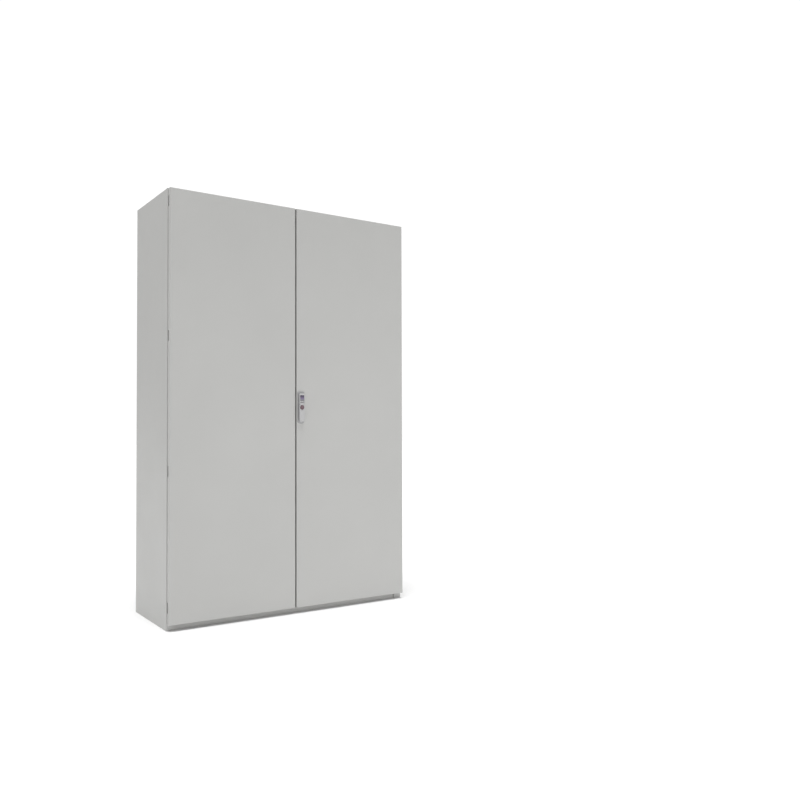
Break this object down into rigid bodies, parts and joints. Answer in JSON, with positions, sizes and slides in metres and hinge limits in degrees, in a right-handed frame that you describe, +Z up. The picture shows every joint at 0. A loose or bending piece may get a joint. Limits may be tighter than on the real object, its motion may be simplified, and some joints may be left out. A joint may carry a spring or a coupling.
{
  "type": "switchboard cabinet",
  "caption": "Free-standing sheet-steel switchboard cabinet with a pair of hinged doors, rod locks, a swing handle with a push button, and a mounting plate inside.",
  "frame": {"origin": "on the floor, in the middle of the cabinet's footprint", "axes": "+Z up, +X to the right as seen from in front of the doors, -Y out of the doors"},
  "size_m": [1.2, 0.414, 1.8],
  "materials": {
    "grey_paint": "light grey textured powder coat",
    "zinc": "galvanised, satin",
    "gasket": "matt foamed seal",
    "handle_grey": "light grey, satin, die cast",
    "handle_base": "mid grey, fine grained moulding",
    "label": "blue-violet plate, satin",
    "button_red": "dark red, satin"
  },
  "bodies": {
    "body": {"roof": "grey_paint", "base_frame": "grey_paint", "rear_panel": "grey_paint", "rear_gasket": "gasket", "mounting_plate": "zinc", "gland_plate_front": "zinc", "gland_plate_middle": "zinc", "gland_plate_rear": "zinc", "left_side_wall": "grey_paint", "left_slide_rail": "zinc", "left_plate_bracket": "zinc", "left_front_rail": "zinc", "left_rear_rail": "zinc", "left_top_keeper": "zinc", "left_bottom_keeper": "zinc", "left_hinge_bracket_1": "zinc", "left_hinge_bracket_2": "zinc", "left_hinge_bracket_3": "zinc", "left_hinge_bracket_4": "zinc", "right_side_wall": "grey_paint", "right_slide_rail": "zinc", "right_plate_bracket": "zinc", "right_front_rail": "zinc", "right_rear_rail": "zinc", "right_top_keeper": "zinc", "right_bottom_keeper": "zinc", "right_hinge_bracket_1": "zinc", "right_hinge_bracket_2": "zinc", "right_hinge_bracket_3": "zinc", "right_hinge_bracket_4": "zinc"},
    "left_door": {"left_door_panel": "grey_paint", "left_door_frame": "zinc", "left_door_gasket": "gasket", "left_lock_case": "zinc", "left_hinge_leaf_1": "zinc", "left_hinge_leaf_2": "zinc", "left_hinge_leaf_3": "zinc", "left_hinge_leaf_4": "zinc", "centre_strip": "grey_paint"},
    "left_lock": {"left_lever": "zinc", "left_pinion": "zinc"},
    "left_upper_rod": {"left_upper_rod": "zinc"},
    "left_lower_rod": {"left_lower_rod": "zinc"},
    "right_door": {"right_door_panel": "grey_paint", "right_door_frame": "zinc", "right_door_gasket": "gasket", "right_lock_case": "zinc", "right_hinge_leaf_1": "zinc", "right_hinge_leaf_2": "zinc", "right_hinge_leaf_3": "zinc", "right_hinge_leaf_4": "zinc", "handle_bezel": "handle_base"},
    "handle": {"handle_head": "handle_grey", "handle_label": "label", "handle_pin": "zinc", "right_pinion": "zinc"},
    "grip": {"handle_grip": "handle_grey"},
    "button": {"lock_button": "button_red"},
    "right_upper_rod": {"right_upper_rod": "zinc"},
    "right_lower_rod": {"right_lower_rod": "zinc"}
  },
  "joints": [
    {"name": "left_door_swing", "type": "hinge", "parent": "body", "child": "left_door", "pos_m": [-0.59, -0.19, 0.9], "axis": [0, 0, -1], "range_deg": [0, 130]},
    {"name": "right_door_swing", "type": "hinge", "parent": "body", "child": "right_door", "pos_m": [0.59, -0.19, 0.9], "axis": [0, 0, 1], "range_deg": [0, 130]},
    {"name": "left_lock_turn", "type": "hinge", "parent": "left_door", "child": "left_lock", "pos_m": [-0.044, -0.184, 0.962], "axis": [0, 1, 0], "range_deg": [0, 90]},
    {"name": "left_upper_rod_slide", "type": "slide", "parent": "left_door", "child": "left_upper_rod", "axis": [0, 0, -1], "range_m": [0, 0.016]},
    {"name": "left_lower_rod_slide", "type": "slide", "parent": "left_door", "child": "left_lower_rod", "axis": [0, 0, 1], "range_m": [0, 0.016]},
    {"name": "handle_turn", "type": "hinge", "parent": "right_door", "child": "handle", "pos_m": [0.022, -0.184, 0.962], "axis": [0, -1, 0], "range_deg": [0, 90]},
    {"name": "grip_lift", "type": "hinge", "parent": "handle", "child": "grip", "pos_m": [0.022, -0.2085, 0.93], "axis": [-1, 0, 0], "range_deg": [0, 35]},
    {"name": "button_press", "type": "slide", "parent": "grip", "child": "button", "axis": [0, 1, 0], "range_m": [0, 0.003], "stiffness_N_per_m": 400},
    {"name": "right_upper_rod_slide", "type": "slide", "parent": "right_door", "child": "right_upper_rod", "axis": [0, 0, -1], "range_m": [0, 0.016]},
    {"name": "right_lower_rod_slide", "type": "slide", "parent": "right_door", "child": "right_lower_rod", "axis": [0, 0, 1], "range_m": [0, 0.016]}
  ],
  "couplings": [
    {"joint": "left_upper_rod_slide", "follows": "left_lock_turn", "m_per_rad": 0.01},
    {"joint": "left_lower_rod_slide", "follows": "left_lock_turn", "m_per_rad": 0.01},
    {"joint": "right_upper_rod_slide", "follows": "handle_turn", "m_per_rad": 0.01},
    {"joint": "right_lower_rod_slide", "follows": "handle_turn", "m_per_rad": 0.01}
  ]
}
